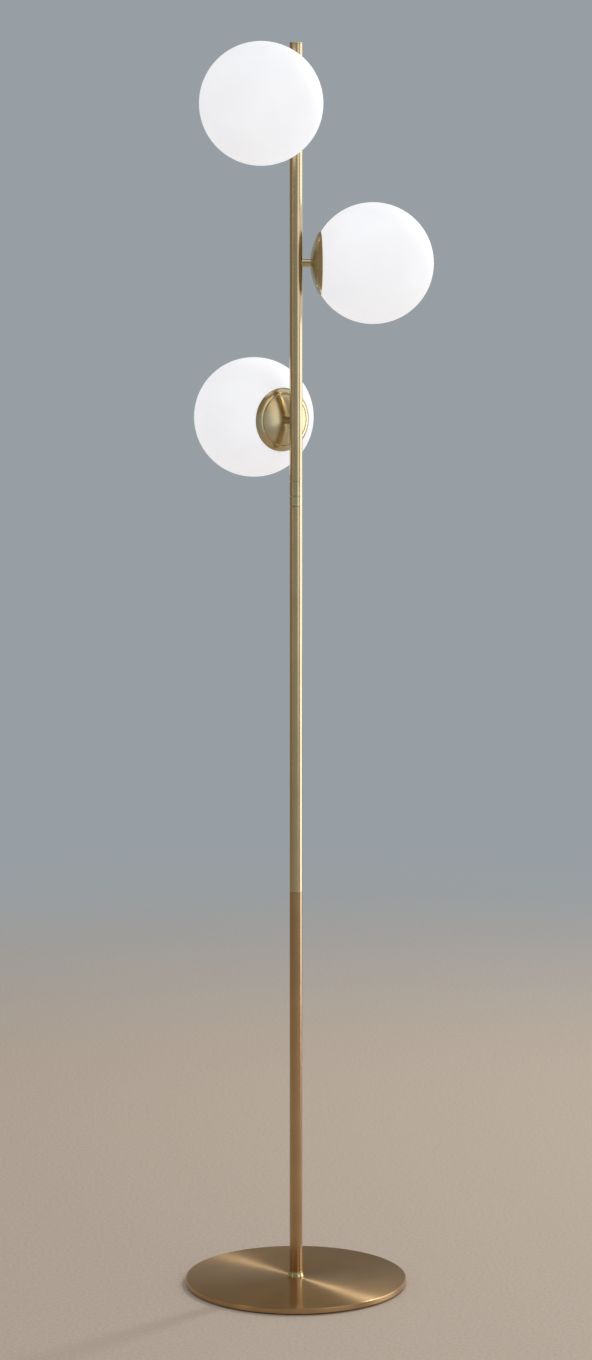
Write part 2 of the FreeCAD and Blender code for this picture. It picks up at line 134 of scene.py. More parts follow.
def brushedMetal(name, look, axis=Vector((0, 0, 1)), centre=Vector((0, 0, 0))):
    its = metalPattern
    fixed = {"Metallic": 1.0, "Anisotropic": look["anisotropy"], "Anisotropic Rotation": its["quarterTurn"]}
    if look["lacquer"]:
        fixed.update({"Coat Weight": look["lacquer"], "Coat Roughness": its["lacquerRoughness"]})
    material, tree, shader = newMaterial(name, fixed)
    place = addNode(tree, "TexCoord").outputs["Object"]
    fromAxis = addNode(tree, "VectorMath", {"operation": "SUBTRACT", 1: centre}, {0: place}).outputs[0]
    along = addNode(tree, "VectorMath", {"operation": "DOT_PRODUCT", 1: axis}, {0: fromAxis}).outputs["Value"]
    upAlong = addNode(tree, "VectorMath", {"operation": "SCALE", 0: axis}, {"Scale": along}).outputs[0]
    outward = addNode(tree, "VectorMath", {"operation": "SUBTRACT"}, {0: fromAxis, 1: upAlong}).outputs[0]
    radius = addNode(tree, "VectorMath", {"operation": "LENGTH"}, {0: outward}).outputs["Value"]
    spoke = addNode(tree, "VectorMath", {"operation": "NORMALIZE"}, {0: outward}).outputs[0]

    # Grooves run round the axis, and drift makes them fade in and out on the way
    fine = 1 / (look["grainWidth"] * mm)
    across = addNode(tree, "CombineXYZ", links={"X": radius, "Y": along}).outputs[0]
    across = addNode(tree, "VectorMath", {"operation": "SCALE", "Scale": fine}, {0: across}).outputs[0]
    drift = addNode(tree, "VectorMath", {"operation": "SCALE", "Scale": look["drift"]}, {0: spoke})
    grainPlace = addNode(tree, "VectorMath", {"operation": "ADD"}, {0: across, 1: drift.outputs[0]})
    groove = addNode(tree, "VectorMath", {"operation": "CROSS_PRODUCT", 0: axis}, {1: spoke}).outputs[0]
    lay = addNode(tree, "VectorTransform", {"vector_type": "VECTOR", "convert_from": "OBJECT",
                                            "convert_to": "WORLD"}, {"Vector": groove}).outputs[0]
    tree.links.new(lay, shader.inputs["Tangent"])

    grain = addNode(tree, "TexNoise", {"Scale": 1.0, "Detail": 3.0, "Roughness": 0.6},
                    {"Vector": grainPlace.outputs[0]}).outputs["Fac"]
    clouds = addNode(tree, "TexNoise", {"Scale": 1 / (look["cloudSize"] * mm), "Detail": 2.0},
                     {"Vector": place}).outputs["Fac"]
    haze = addNode(tree, "MapRange", {"From Min": its["cloudsFrom"], "From Max": its["cloudsTo"],
                                      "To Min": look["roughness"],
                                      "To Max": look["roughness"] + look["haze"]}, {"Value": clouds})
    tree.links.new(haze.outputs[0], shader.inputs["Roughness"])

    tone = addNode(tree, "Math", {"operation": "MULTIPLY_ADD", 1: its["grainShare"]}, {0: grain, 2: clouds})
    colour = ramp(tree, tone.outputs[0], [(its["darkAt"], linear(look["dark"])),
                                          (its["brightAt"], linear(look["bright"]))])
    tree.links.new(colour.outputs["Color"], shader.inputs["Base Color"])
    bump = addNode(tree, "Bump", {"Strength": look["bump"], "Distance": look["grainDepth"] * mm},
                   {"Height": grain})
    tree.links.new(bump.outputs[0], shader.inputs["Normal"])
    return material


# Sizes are in millimetres. Real grooves are finer than these widths: drawn true, they would only flicker

# Brass plated steel tube, brushed round before plating: faint rings
tubeLook = {"bright": "#D4BF96", "dark": "#C9B389", "anisotropy": 0.3, "drift": 1.5,
            "grainWidth": 0.6, "grainDepth": 0.003, "bump": 0.05, "roughness": 0.24,
            "haze": 0.03, "cloudSize": 60, "lacquer": 0.7}
# The lower section is a shade browner
lowerTubeLook = dict(tubeLook, bright="#C1A074", dark="#B39166", lacquer=0.9)
# Brass plated steel plate, spun against a brush on the lathe: fine rings and a bow-tie highlight
baseLook = {"bright": "#C9A97E", "dark": "#B7976D", "anisotropy": 0.95, "drift": 1.5,
            "grainWidth": 0.5, "grainDepth": 0.003, "bump": 0.08, "roughness": 0.3,
            "haze": 0.02, "cloudSize": 80, "lacquer": 0.15}
# Brass sheet spun over a former and brushed while it turned
capLook = {"bright": "#D5C59E", "dark": "#C9B890", "anisotropy": 0.6, "drift": 1.5,
           "grainWidth": 0.4, "grainDepth": 0.003, "bump": 0.05, "roughness": 0.25,
           "haze": 0.03, "cloudSize": 25, "lacquer": 0.3}
# Bar brass turned on a lathe, satin
turnedLook = {"bright": "#D5C59E", "dark": "#C9B890", "anisotropy": 0.5, "drift": 2.0,
              "grainWidth": 0.25, "grainDepth": 0.004, "bump": 0.3, "roughness": 0.19,
              "haze": 0.03, "cloudSize": 12, "lacquer": 0.25}
# Zinc plated steel fasteners: bluish, a little cloudy
zincLook = {"bright": "#C8C9C6", "dark": "#AFB1AF", "anisotropy": 0.2, "drift": 2.0,
            "grainWidth": 0.3, "grainDepth": 0.005, "bump": 0.3, "roughness": 0.33,
            "haze": 0.1, "cloudSize": 4, "lacquer": 0.0}
# Aluminium sleeve, turned from bar and left bare
sleeveLook = dict(zincLook, bright="#D6D7D8", dark="#C2C3C5", anisotropy=0.6, grainWidth=0.25)
# Nickel plated pins, drawn wire
pinLook = dict(zincLook, bright="#CFCBC0", dark="#B7B2A6", roughness=0.21)


mottleFrom, mottleTo = 0.35, 0.65        # where a mottled colour starts to change, and where it has


# Blown opal: white through and through, satin outside, evenly lit from within
def opalGlass(name):
    look = {"clear": "#B9BBBC", "dense": "#B2B4B6", "glow": "#FBFBFF", "glowStrength": 0.64,
            "cloudSize": 45, "rippleSize": 14, "rippleDepth": 0.3, "ripple": 0.05, "roughness": (0.55, 0.65)}
    material, tree, shader = newMaterial(name, {
        "IOR": 1.5, "Specular IOR Level": 0.15, "Subsurface Weight": 0.35, "Subsurface Scale": 0.006,
        "Subsurface Radius": (1.0, 0.95, 0.9), "Emission Color": linear(look["glow"]),
        "Emission Strength": look["glowStrength"]})
    place = addNode(tree, "TexCoord").outputs["Object"]
    clouds = addNode(tree, "TexNoise", {"Scale": 1 / (look["cloudSize"] * mm), "Detail": 2.0},
                     {"Vector": place}).outputs["Fac"]
    colour = ramp(tree, clouds, [(mottleFrom, linear(look["dense"])), (mottleTo, linear(look["clear"]))])
    tree.links.new(colour.outputs["Color"], shader.inputs["Base Color"])
    rough = addNode(tree, "MapRange", {"To Min": look["roughness"][0], "To Max": look["roughness"][1]},
                    {"Value": clouds}).outputs[0]
    tree.links.new(rough, shader.inputs["Roughness"])
    ripples = addNode(tree, "TexNoise", {"Scale": 1 / (look["rippleSize"] * mm), "Detail": 1.0},
                      {"Vector": place}).outputs["Fac"]
    bump = addNode(tree, "Bump", {"Strength": look["ripple"], "Distance": look["rippleDepth"] * mm},
                   {"Height": ripples})
    tree.links.new(bump.outputs[0], shader.inputs["Normal"])
    return material


def speckled(name, look, surface):        # moulded, glazed or foamed: a mottled colour over a fine skin
    material, tree, shader = newMaterial(name, surface)
    place = addNode(tree, "TexCoord").outputs["Object"]
    mottle = addNode(tree, "TexNoise", {"Scale": 1 / (look["mottleSize"] * mm), "Detail": 3.0},
                     {"Vector": place}).outputs["Fac"]
    grit = addNode(tree, "TexNoise", {"Scale": 1 / (look["gritSize"] * mm), "Detail": 2.0},
                   {"Vector": place}).outputs["Fac"]
    colour = ramp(tree, mottle, [(mottleFrom, linear(look["dark"])), (mottleTo, linear(look["bright"]))])
    tree.links.new(colour.outputs["Color"], shader.inputs["Base Color"])
    rough = addNode(tree, "MapRange", {"To Min": look["roughness"][0], "To Max": look["roughness"][1]},
                    {"Value": mottle}).outputs[0]
    tree.links.new(rough, shader.inputs["Roughness"])
    bump = addNode(tree, "Bump", {"Strength": look["bump"], "Distance": look["gritDepth"] * mm},
                   {"Height": grit})
    tree.links.new(bump.outputs[0], shader.inputs["Normal"])
    return material


# EVA foam pad, die cut: dull, with open cells at its skin
foamPad = speckled("evaFoamDieCut", {"bright": "#2B2B2A", "dark": "#1D1D1D", "mottleSize": 6,
                                     "gritSize": 0.5, "gritDepth": 0.08, "bump": 0.6,
                                     "roughness": (0.8, 0.95)}, {"IOR": 1.45})
# Moulded rubber grommet: black, faintly satin
grommetRubber = speckled("rubberMoulded", {"bright": "#262524", "dark": "#191918", "mottleSize": 3,
                                           "gritSize": 0.3, "gritDepth": 0.02, "bump": 0.4,
                                           "roughness": (0.45, 0.6)}, {"IOR": 1.52})
# PVC cable sheath, extruded, and silicone wire
cableSheath = speckled("pvcExtruded", {"bright": "#2F2F30", "dark": "#232324", "mottleSize": 5,
                                       "gritSize": 0.4, "gritDepth": 0.01, "bump": 0.3,
                                       "roughness": (0.4, 0.5)}, {"IOR": 1.53})
siliconeWire = speckled("siliconeExtruded", {"bright": "#E4E2DC", "dark": "#D6D3CB", "mottleSize": 4,
                                             "gritSize": 0.4, "gritDepth": 0.01, "bump": 0.3,
                                             "roughness": (0.45, 0.6)}, {"IOR": 1.41})
# Nylon connector, moulded
connectorNylon = speckled("nylonMoulded", {"bright": "#DAD7CC", "dark": "#CBC7BA", "mottleSize": 5,
                                           "gritSize": 0.3, "gritDepth": 0.01, "bump": 0.3,
                                           "roughness": (0.4, 0.55)}, {"IOR": 1.53})
# Steatite lampholder, glazed on its sides: creamy, with faint pin holes
steatite = speckled("steatiteGlazed", {"bright": "#EFEBE0", "dark": "#E3DDCE", "mottleSize": 3,
                                       "gritSize": 0.35, "gritDepth": 0.02, "bump": 0.35,
                                       "roughness": (0.18, 0.3)},
                    {"IOR": 1.55, "Coat Weight": 0.3, "Coat Roughness": 0.1})
# Polycarbonate bulb base, moulded, with a fine spark-eroded skin
bulbPlastic = speckled("polycarbonateMoulded", {"bright": "#F0F0EE", "dark": "#E6E6E3", "mottleSize": 6,
                                                "gritSize": 0.25, "gritDepth": 0.01, "bump": 0.4,
                                                "roughness": (0.3, 0.42)}, {"IOR": 1.58})
# Bulb glass, etched inside: soft white, glossy outside
bulbGlassMaterial = speckled("glassEtched", {"bright": "#F7F6F0", "dark": "#EEECE3", "mottleSize": 7,
                                               "gritSize": 0.3, "gritDepth": 0.004, "bump": 0.2,
                                               "roughness": (0.1, 0.2)},
                             {"IOR": 1.5, "Subsurface Weight": 0.5, "Subsurface Scale": 0.003,
                              "Emission Color": linear("#FFF3DC"), "Emission Strength": 0.3})
opal = opalGlass("opalBlown")
print("materials made")


# What each carried-over CAD node is made of
tubeMaterial = brushedMetal("brassPlatedSteelBrushed", tubeLook)
lowerTubeMaterial = brushedMetal("brassPlatedSteelBrushedDarker", lowerTubeLook)
baseMaterial = brushedMetal("brassPlatedSteelSpun", baseLook)
turnedMaterial = brushedMetal("brassTurned", turnedLook)
zincMaterial = brushedMetal("steelZincPlated", zincLook)

for node in ("upper_pole", "middle_pole"):
    wear(node, tubeMaterial)
wear("lower_pole", lowerTubeMaterial)
for node in ("lock_ring", "head_socket", "top_plug"):
    wear(node, turnedMaterial)
for node in ("base_washer", "base_nut", "base_stud", "foot_plug", "pole_joiner", "stem_bush",
             "swivel_stem"):
    wear(node, zincMaterial)
wear("base_pad", foamPad)
wear("cable_grommet", grommetRubber)
wear("supply_cable", cableSheath)
wear("wire_connector", connectorNylon)
capMaterials, sleeveMaterials, armZincs, pinMaterials = {}, {}, {}, {}
for name in armNames:        # turned pieces on an arm need their grain to run round that arm
    axis = armAxis[name]
    centre = Vector((0, 0, armHeight[name]))
    capMaterials[name] = brushedMetal(f"brassSpun_{name}", capLook, axis, centre)
    sleeveMaterials[name] = brushedMetal(f"aluminiumTurned_{name}", sleeveLook, axis, centre)
    armZincs[name] = brushedMetal(f"steelZincPlated_{name}", zincLook, axis, centre)
    pinMaterials[name] = brushedMetal(f"steelNickelPlated_{name}", pinLook, axis, centre)
    wear(f"arm_tube_{name}", brushedMetal(f"brassTurned_{name}", turnedLook, axis, centre))
    wear(f"cap_spacer_{name}", armZincs[name])
    wear(f"arm_nut_{name}", armZincs[name])
    wear(f"lampholder_{name}", steatite)
    wear(f"lamp_wire_{name}", siliconeWire)
print("CAD nodes finished")


# Turned and spun pieces, drawn finer than the CAD facets, on the same sizes in millimetres
cornerSteps = 5
sharpAngle = math.radians(35)
onOutline = 0.01        # a point this near an outline is on it
onAxis = 0.0001        # a point this near the axis closes the form


def softened(corners):        # an outline whose corners (radius, along, rounding) become short curves
    points = []
    for index, corner in enumerate(corners):
        here = Vector(corner[:2])
        rounding = corner[2] if len(corner) > 2 else 0
        if not rounding:
            points.append(tuple(here))
            continue
        before = Vector(corners[index - 1][:2])
        after = Vector(corners[(index + 1) % len(corners)][:2])
        start = here + (before - here).normalized() * rounding
        end = here + (after - here).normalized() * rounding
        for step in range(cornerSteps + 1):
            t = step / cornerSteps        # 0 at the start of the curve, 1 at its end
            points.append(tuple(start * (1 - t) ** 2 + here * 2 * t * (1 - t) + end * t * t))
    return points


# Points after start, up to end, turning left (1) or right (-1)
def arc(start, end, radius, side, steps):
    start, end = Vector(start), Vector(end)
    chord = end - start
    rise = math.sqrt(max(radius ** 2 - (chord.length / 2) ** 2, 0))
    centre = (start + end) / 2 + Vector((-chord.y, chord.x)).normalized() * rise * side
    first = math.atan2(*(start - centre).yx)
    sweep = (math.atan2(*(end - centre).yx) - first) * side % (2 * math.pi) * side
    return [tuple(centre + radius * Vector((math.cos(first + sweep * i / steps),
                                            math.sin(first + sweep * i / steps))))
            for i in range(1, steps + 1)]


# A closed outline turned about the axis. shape, where given, sets the radius by the angle
def lathe(name, outline, axis, centre, segments=128, shape=None):
    side = axis.orthogonal().normalized()
    other = axis.cross(side)
    form = bmesh.new()
    rings = []
    for radius, along in outline:
        middle = centre + axis * (along * mm)
        if radius < onAxis:
            rings.append([form.verts.new(middle)])
            continue
        turned = []
        for i in range(segments):
            angle = 2 * math.pi * i / segments
            reach = (shape(radius, along, angle) if shape else radius) * mm
            turned.append(form.verts.new(middle + (side * math.cos(angle) + other * math.sin(angle)) * reach))
        rings.append(turned)
    for one, two in zip(rings, rings[1:] + rings[:1]):
        if len(one) == len(two) == 1:
            continue
        for i in range(segments):
            j = (i + 1) % segments
            corners = [one[0]] if len(one) == 1 else [one[i], one[j]]
            corners += [two[0]] if len(two) == 1 else [two[j], two[i]]
            form.faces.new(corners)
    bmesh.ops.recalc_face_normals(form, faces=form.faces)
    mesh = bpy.data.meshes.new(name)
    form.to_mesh(mesh)
    form.free()
    mesh.shade_smooth()
    mesh.set_sharp_from_angle(angle=sharpAngle)
    piece = bpy.data.objects.new(name, mesh)
    bpy.context.scene.collection.objects.link(piece)
    return piece


def standIn(piece, node, material):        # the piece takes a CAD node's place, body and finish
    piece.data.materials.clear()
    piece.data.materials.append(material)
    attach(piece, body_of(nodes[node])[0])
    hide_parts(node)
    return piece


upAxis = Vector((0, 0, 1))
floorCentre = Vector((0, 0, 0))

baseShape = {"radius": 137.5, "bottom": 1.5, "top": 8.5, "edge": 1.2, "hole": 5.2, "recess": 14.5,
             "recessTop": 5.9, "recessRound": 0.3}
basePlate = lathe("baseDisc", softened([
    (baseShape["hole"], baseShape["recessTop"]), (baseShape["recess"], baseShape["recessTop"]),
    (baseShape["recess"], baseShape["bottom"], baseShape["recessRound"]),
    (baseShape["radius"], baseShape["bottom"], baseShape["edge"]),
    (baseShape["radius"], baseShape["top"], baseShape["edge"]), (baseShape["hole"], baseShape["top"]),
]), upAxis, floorCentre, segments=288)
standIn(basePlate, "base_plate", baseMaterial)

collarShape = {"bore": 8.05, "radius": 10.3, "foot": 1.4, "top": 8.0, "lip": 0.5, "curve": 13,
               "footRound": 0.3}
collarLip = collarShape["bore"] + collarShape["lip"]
collar = lathe("footCollar", [
    (radius, baseShape["top"] + along) for radius, along in softened([
        (collarShape["bore"], 0), (collarShape["radius"], 0),
        (collarShape["radius"], collarShape["foot"], collarShape["footRound"]),
    ]) + arc((collarShape["radius"], collarShape["foot"]), (collarLip, collarShape["top"]),
             collarShape["curve"], -1, steps=12) + [(collarShape["bore"], collarShape["top"])]
], upAxis, floorCentre)
standIn(collar, "foot_collar", turnedMaterial)
print("base finished")


# A coarse rounded thread, on the globe's ring and on the sleeve that it screws on to
threadShape = {"pitch": 3.0, "depth": 0.65, "ringBore": 16.8, "sleeve": 16.45}


def screwThread(along, angle):        # 0 at the root and 1 at the crest, one turn per pitch
    turn = (along / threadShape["pitch"] - angle / (2 * math.pi)) % 1
    return 0.5 - 0.5 * math.cos(2 * math.pi * turn)


def stepped(start, end, count):        # points between two outline points, the first left out
    return [(start[0] + (end[0] - start[0]) * i / count, start[1] + (end[1] - start[1]) * i / count)
            for i in range(1, count + 1)]


# The cap: spun dome, a pressed crease and a rounder band that curves over towards the glass
capShape = {"hole": 4.05, "flat": 8.5, "back": 17.8, "crease": 31.2, "creaseAt": 24.6, "grooveOut": 0.7,
            "grooveUp": 1.1, "bandOut": 1.5, "bandUp": 0.6, "insideOut": -0.4, "insideUp": 1.5,
            "rim": 39.8, "rimAt": 30.3, "wall": 1.2, "domeCurve": 78, "bandCurve": 12, "flatRound": 0.5,
            "creaseRound": 0.12, "grooveRound": 0.1, "rimRound": 0.4}


def cap(name, axis, centre):
    its = capShape
    crease = (its["crease"], its["creaseAt"])
    groove = (its["crease"] + its["grooveOut"], its["creaseAt"] + its["grooveUp"])
    band = (its["crease"] + its["bandOut"], its["creaseAt"] + its["bandUp"])
    creaseInside = (its["crease"] + its["insideOut"], its["creaseAt"] + its["insideUp"])
    inside = its["rim"] - its["wall"]
    outline = softened([(its["hole"], its["back"]), (its["flat"], its["back"], its["flatRound"])]
                       + arc((its["flat"], its["back"]), crease, its["domeCurve"], 1, steps=28)[:-1]
                       + [(*crease, its["creaseRound"]), (*groove, its["grooveRound"]),
                          (*band, its["creaseRound"])]
                       + arc(band, (its["rim"], its["rimAt"]), its["bandCurve"], 1, steps=14)[:-1]
                       + [(its["rim"], its["rimAt"], its["rimRound"]),
                          (inside, its["rimAt"], its["rimRound"])]
                       + arc((inside, its["rimAt"]), creaseInside,
                             its["bandCurve"] - its["wall"], -1, steps=10)
                       + arc(creaseInside, (its["flat"], its["back"] + its["wall"]),
                             its["domeCurve"] - its["wall"], -1, steps=14)
                       + [(its["hole"], its["back"] + its["wall"])])
    return lathe(name, outline, axis, centre, segments=192)


# The globe: blown in a mould, its mouth ground and fire polished
globeShape = {"radius": 75, "wall": 2.2, "reach": 95.1, "mouth": 19.42, "lip": 0.7}


def globe(name, axis, centre):
    its = globeShape
    inner = its["radius"] - its["wall"]
    mouth = (its["mouth"], its["reach"] - math.sqrt(its["radius"] ** 2 - its["mouth"] ** 2))
    mouthInside = (its["mouth"], its["reach"] - math.sqrt(inner ** 2 - its["mouth"] ** 2))
    outline = softened([(*mouth, its["lip"])]
                       + arc(mouth, (0, its["reach"] + its["radius"]), its["radius"], 1, steps=72)
                       + [(0, its["reach"] + inner)]
                       + arc((0, its["reach"] + inner), mouthInside, inner, -1, steps=60)[:-1]
                       + [(*mouthInside, its["lip"])])
    return lathe(name, outline, axis, centre, segments=192)


# The ring cemented into the globe's mouth, threaded inside
ringShape = {"outside": 19.4, "start": 22.0, "length": 10.0, "round": 0.4}


def globeRing(name, axis, centre):
    its, start, end = ringShape, ringShape["start"], ringShape["start"] + ringShape["length"]
    bore = threadShape["ringBore"]
    outline = softened([(its["outside"], start, its["round"]), (its["outside"], end, its["round"]),
                        (bore, end)])
    outline += stepped((bore, end), (bore, start), 40)

    def cutThread(radius, along, angle):
        if radius > bore + onOutline:
            return radius
        return bore + threadShape["depth"] * screwThread(along, angle)
    return lathe(name, outline, axis, centre, segments=96, shape=cutThread)


# The sleeve round the lampholder, threaded outside. The thread fades out at both ends
sleeveShape = {"start": 21.2, "length": 19.0, "hole": 4.05, "floor": 1.5, "room": 11.0, "seat": 15.0,
               "seatDepth": 3.0, "entry": 0.7, "entryRound": 0.2, "threadFrom": 0.4, "threadTo": 0.6,
               "fade": 1.2}


def sleeve(name, axis, centre):
    its, start = sleeveShape, sleeveShape["start"]
    end, crest = start + its["length"], threadShape["sleeve"]
    outline = softened([(its["hole"], start), (crest - its["entry"], start, its["entryRound"])])
    outline += stepped((crest, start + its["threadFrom"]), (crest, end - its["threadTo"]), 66)
    outline += softened([(crest - its["entry"], end), (its["seat"], end),
                         (its["seat"], end - its["seatDepth"]), (its["room"], end - its["seatDepth"]),
                         (its["room"], start + its["floor"]), (its["hole"], start + its["floor"])])

    def cutThread(radius, along, angle):
        if radius < crest - onOutline:
            return radius
        fade = min(1, (end - its["threadTo"] - along) / its["fade"],
                   (along - start - its["threadFrom"]) / its["fade"])
        return crest - threadShape["depth"] * (1 - (1 - screwThread(along, angle)) * max(fade, 0))
    return lathe(name, outline, axis, centre, segments=96, shape=cutThread)


# Pan head screw with a cross recess, which cutCross draws from a ring of points round the middle
screwShape = {"circle": 13.1, "at": 40.2, "head": 2.1, "height": 1.4, "shank": 1.2, "length": 7.0,
              "tip": 0.3, "tipLength": 0.4, "seatRound": 0.15, "side": 0.5, "sideRound": 0.2, "flat": 1.5,
              "flatRound": 0.4, "cross": 1.3, "crossLength": 1.15, "crossWidth": 0.3, "crossDepth": 0.8}


def screw(name, axis, centre, spot):        # spot is its place off the axis
    its = screwShape
    top, foot, cross = its["at"] + its["height"], its["at"] - its["length"], its["cross"]
    outline = [(0, foot)] + softened([
        (its["shank"] - its["tip"], foot), (its["shank"], foot + its["tipLength"]), (its["shank"], its["at"]),
        (its["head"], its["at"], its["seatRound"]), (its["head"], its["at"] + its["side"], its["sideRound"]),
        (its["flat"], top, its["flatRound"]), (cross, top),
    ]) + [(cross, top - its["crossDepth"]), (0, top - its["crossDepth"])]

    def cutCross(radius, along, angle):
        if abs(radius - cross) > onOutline:
            return radius
        across = abs(math.cos(angle)), abs(math.sin(angle))
        thin = max(min(across), 0.001)        # never nothing, as it divides
        return min(its["crossLength"] / max(across), its["crossWidth"] / thin)
    return lathe(name, outline, axis, centre + spot, segments=64, shape=cutCross)


# The bulb: moulded base with grip grooves, frosted glass and two pins of sprung wire
bulbShape = {"start": 44.5, "back": 7.4, "radius": 9.0, "base": 16.0, "taper": 5.3, "glass": 32.0,
             "wall": 0.8, "backRound": 0.6, "taperRound": 0.8, "edgeRound": 0.5, "glassRound": 0.3}
gripShape = {"count": 3, "at": 2.4, "pitch": 2.2, "depth": 0.3, "floorFrom": 0.35, "floorTo": 0.75,
             "end": 1.1}
pinShape = {"spacing": 9.0, "length": 13.5, "wire": 0.42, "loop": 0.65, "buried": 1, "straight": 6,
            "bendAt": 0.7}


def bulbBase(name, axis, centre):
    its, grip, start = bulbShape, gripShape, bulbShape["start"]
    ribs = []
    for rib in range(grip["count"]):
        at = start + its["taper"] + grip["at"] + grip["pitch"] * rib
        floor = its["radius"] - grip["depth"]
        ribs += [(its["radius"], at), (floor, at + grip["floorFrom"]), (floor, at + grip["floorTo"]),
                 (its["radius"], at + grip["end"])]
    outline = [(0, start)] + softened([(its["back"], start, its["backRound"]),
                                       (its["radius"], start + its["taper"], its["taperRound"])]
                                      + ribs + [(its["radius"], start + its["base"], its["edgeRound"]),
                                                (0, start + its["base"])])
    return lathe(name, outline, axis, centre, segments=96)


def bulbGlass(name, axis, centre):
    its, start = bulbShape, bulbShape["start"] + bulbShape["base"]
    end, inner = start + its["glass"], its["radius"] - its["wall"]
    outline = softened([(inner, start), (its["radius"], start, its["glassRound"]),
                        (its["radius"], end - its["radius"])])
    outline += arc((its["radius"], end - its["radius"]), (0, end), its["radius"], 1, steps=20)
    outline.append((0, end - its["wall"]))
    outline += arc((0, end - its["wall"]), (inner, end - its["radius"]), inner, -1, steps=16)
    return lathe(name, outline, axis, centre, segments=96)


def bulbPins(name, axis, centre):        # two pins, each a loop of wire that springs into its slot
    its, back = pinShape, bulbShape["start"]
    across = axis.cross(upAxis)
    wire = bpy.data.curves.new(name, "CURVE")
    wire.dimensions = "3D"
    wire.bevel_depth = its["wire"] * mm
    wire.bevel_resolution = 5
    tip = back - its["length"] + its["wire"]
    ends = (back + its["buried"], tip + its["straight"], tip + its["bendAt"])
    for side in (-1, 1):
        spots = [(-its["loop"], along) for along in ends]
        for angle in range(30, 180, 30):        # round the tip, in degrees
            spots.append((-its["loop"] * math.cos(math.radians(angle)),
                          tip + its["loop"] - its["loop"] * math.sin(math.radians(angle))))
        spots += [(its["loop"], along) for along in reversed(ends)]
        run = wire.splines.new("POLY")
        run.points.add(len(spots) - 1)
        for point, (offset, along) in zip(run.points, spots):
            place = centre + axis * (along * mm) + across * ((side * its["spacing"] / 2 + offset) * mm)
            point.co = (*place, 1)
    drawn = bpy.data.objects.new(name + "Path", wire)
    bpy.context.scene.collection.objects.link(drawn)
    bpy.context.view_layer.update()
    mesh = bpy.data.meshes.new_from_object(drawn)
    mesh.shade_smooth()
    bpy.data.objects.remove(drawn)
    piece = bpy.data.objects.new(name, mesh)
    bpy.context.scene.collection.objects.link(piece)
    return piece


for name in armNames:
    axis = armAxis[name]
    centre = Vector((0, 0, armHeight[name]))
    title = name.capitalize()
    standIn(cap(f"cap{title}", axis, centre), f"cap_{name}", capMaterials[name])
    standIn(globe(f"globe{title}", axis, centre), f"globe_{name}", opal)
    standIn(globeRing(f"globeRing{title}", axis, centre), f"globe_ring_{name}", sleeveMaterials[name])
    standIn(sleeve(f"holderSleeve{title}", axis, centre), f"holder_sleeve_{name}", sleeveMaterials[name])
    for number, side in enumerate((1, -1)):
        spot = upAxis * (screwShape["circle"] * side * mm)
        standIn(screw(f"holderScrew{title}{number}", axis, centre, spot), f"holder_screws_{name}",
                armZincs[name])
    standIn(bulbBase(f"bulbBase{title}", axis, centre), f"bulb_base_{name}", bulbPlastic)
    standIn(bulbGlass(f"bulbGlass{title}", axis, centre), f"bulb_glass_{name}", bulbGlassMaterial)
    standIn(bulbPins(f"bulbPins{title}", axis, centre), f"bulb_pins_{name}", pinMaterials[name])
    print(f"{name} arm finished")


# Studio: camera at the photograph's viewing angle, pale floor that fades out, soft lights
camera = {"turn": -3.8, "distance": 4.7, "height": 1.3786, "tilt": 3.43, "lens": 100.98, "shift": -0.2,
          "sensor": 36}
cameraData = bpy.data.cameras.new("camera")
cameraData.lens = camera["lens"]
cameraData.sensor_width = camera["sensor"]
cameraData.shift_y = camera["shift"]
cameraObject = bpy.data.objects.new("camera", cameraData)
turn = math.radians(camera["turn"])
cameraObject.location = (camera["distance"] * math.sin(turn), -camera["distance"] * math.cos(turn),
                         camera["height"])
cameraObject.rotation_euler = (math.radians(90 - camera["tilt"]), 0, turn)
bpy.context.scene.collection.objects.link(cameraObject)
bpy.context.scene.camera = cameraObject

floorLook = {"colour": "#D8C7B6", "speck": "#D0BFAD", "radius": 4.0, "solidTo": 1.0, "goneBy": 3.2,
             "speckScale": 220.0, "speckTo": 0.4, "colourFrom": 0.6, "roughness": 0.75, "sides": 96}
sides = floorLook["sides"]
rim = [(floorLook["radius"] * math.cos(2 * math.pi * i / sides),
        floorLook["radius"] * math.sin(2 * math.pi * i / sides), 0.0) for i in range(sides)]
mesh = bpy.data.meshes.new("floor")
mesh.from_pydata(rim, [], [tuple(range(sides))])
floor = bpy.data.objects.new("floor", mesh)
bpy.context.scene.collection.objects.link(floor)
material, tree, shader = newMaterial("paintedFloor", {"Roughness": floorLook["roughness"], "IOR": 1.4})
place = addNode(tree, "TexCoord").outputs["Object"]
specks = addNode(tree, "TexNoise", {"Scale": floorLook["speckScale"], "Detail": 2.0}, {"Vector": place})
colour = ramp(tree, specks.outputs["Fac"], [(floorLook["speckTo"], linear(floorLook["speck"])),
                                            (floorLook["colourFrom"], linear(floorLook["colour"]))])
tree.links.new(colour.outputs["Color"], shader.inputs["Base Color"])
away = addNode(tree, "VectorMath", {"operation": "LENGTH"}, {0: place}).outputs["Value"]
fade = addNode(tree, "MapRange", {"interpolation_type": "SMOOTHSTEP", "From Min": floorLook["solidTo"],
                                  "From Max": floorLook["goneBy"]}, {"Value": away}).outputs[0]
clear = addNode(tree, "BsdfTransparent").outputs[0]
mixed = addNode(tree, "MixShader", links={0: fade, 1: shader.outputs[0], 2: clear}).outputs[0]
tree.links.new(mixed, tree.nodes["Material Output"].inputs["Surface"])
mesh.materials.append(material)

